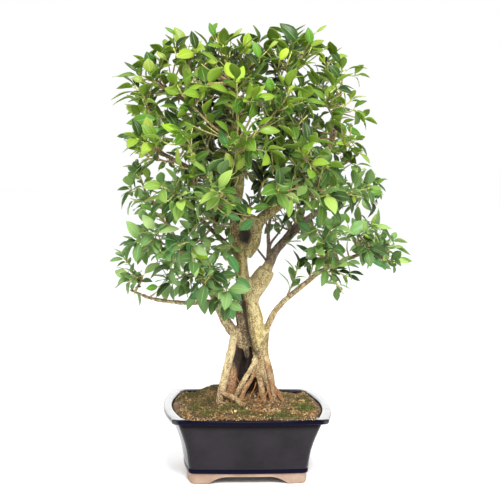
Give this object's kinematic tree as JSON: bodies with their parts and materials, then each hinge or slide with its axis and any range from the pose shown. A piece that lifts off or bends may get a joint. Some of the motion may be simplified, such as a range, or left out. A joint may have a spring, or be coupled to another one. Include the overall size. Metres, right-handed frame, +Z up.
{
  "type": "ficus bonsai in a pot",
  "caption": "Ficus bonsai with a fluted trunk, aerial roots and a full leafy crown, rooted in mounded soil in a footed, glazed rectangular pot.",
  "frame": {"origin": "middle of the tree's overall box on the surface that the pot stands on", "axes": "+Z up along the trunk, X along the pot's long side and the crown's width, -Y towards the front view"},
  "size_m": [0.494, 0.426, 0.7125],
  "materials": {
    "glaze": "dark navy gloss glaze, feet left as bare terracotta",
    "foot_clay": "bare unglazed clay, matt",
    "mesh": "matt black",
    "soil": "loose tan and brown grit, matt",
    "moss": "short green moss, matt",
    "bark": "cream to brown bark with pale flecks and lichen",
    "twig": "smooth yellow-green young bark",
    "leaf_upper": "satin leaf, vivid green",
    "leaf_lower": "satin leaf, bluish green"
  },
  "bodies": {
    "root": {"pot": "glaze", "drain_mesh_left": "mesh", "drain_mesh_right": "mesh", "soil": "soil", "trunk": "bark", "spray_crown_01": "leaf_upper", "spray_crown_02": "leaf_upper", "spray_crown_03": "leaf_upper", "spray_crown_04": "leaf_upper", "spray_crown_05": "leaf_upper", "spray_crown_06": "leaf_upper", "spray_crown_07": "leaf_upper", "spray_crown_08": "leaf_upper", "spray_crown_09": "leaf_upper", "spray_crown_10": "leaf_upper", "spray_crown_11": "leaf_upper", "spray_upper_01": "leaf_upper", "spray_upper_02": "leaf_upper", "spray_upper_03": "leaf_upper", "spray_upper_04": "leaf_upper", "spray_upper_05": "leaf_upper", "spray_upper_06": "leaf_upper", "spray_upper_07": "leaf_upper", "spray_upper_08": "leaf_upper", "spray_upper_09": "leaf_upper", "spray_middle_01": "leaf_upper", "spray_middle_02": "leaf_upper", "spray_middle_03": "leaf_upper", "spray_middle_04": "leaf_upper", "spray_middle_05": "leaf_upper", "spray_middle_06": "leaf_upper", "spray_middle_07": "leaf_upper", "spray_middle_08": "leaf_upper", "spray_middle_09": "leaf_upper", "spray_middle_10": "leaf_upper", "spray_skirt_01": "leaf_lower", "spray_skirt_02": "leaf_lower", "spray_skirt_03": "leaf_lower", "spray_skirt_04": "leaf_lower", "spray_skirt_05": "leaf_lower", "spray_skirt_06": "leaf_lower", "spray_skirt_07": "leaf_lower", "spray_skirt_08": "leaf_lower", "spray_skirt_09": "leaf_lower", "spray_skirt_10": "leaf_lower", "spray_left_01": "leaf_lower", "spray_left_02": "leaf_lower", "spray_left_03": "leaf_lower", "spray_left_04": "leaf_lower", "spray_left_05": "leaf_lower", "spray_left_06": "leaf_lower", "spray_left_07": "leaf_lower", "spray_left_08": "leaf_lower", "spray_right_01": "leaf_lower", "spray_right_02": "leaf_lower", "spray_right_03": "leaf_lower", "spray_right_04": "leaf_lower", "spray_right_05": "leaf_lower", "spray_right_06": "leaf_lower"}
  },
  "joints": []
}
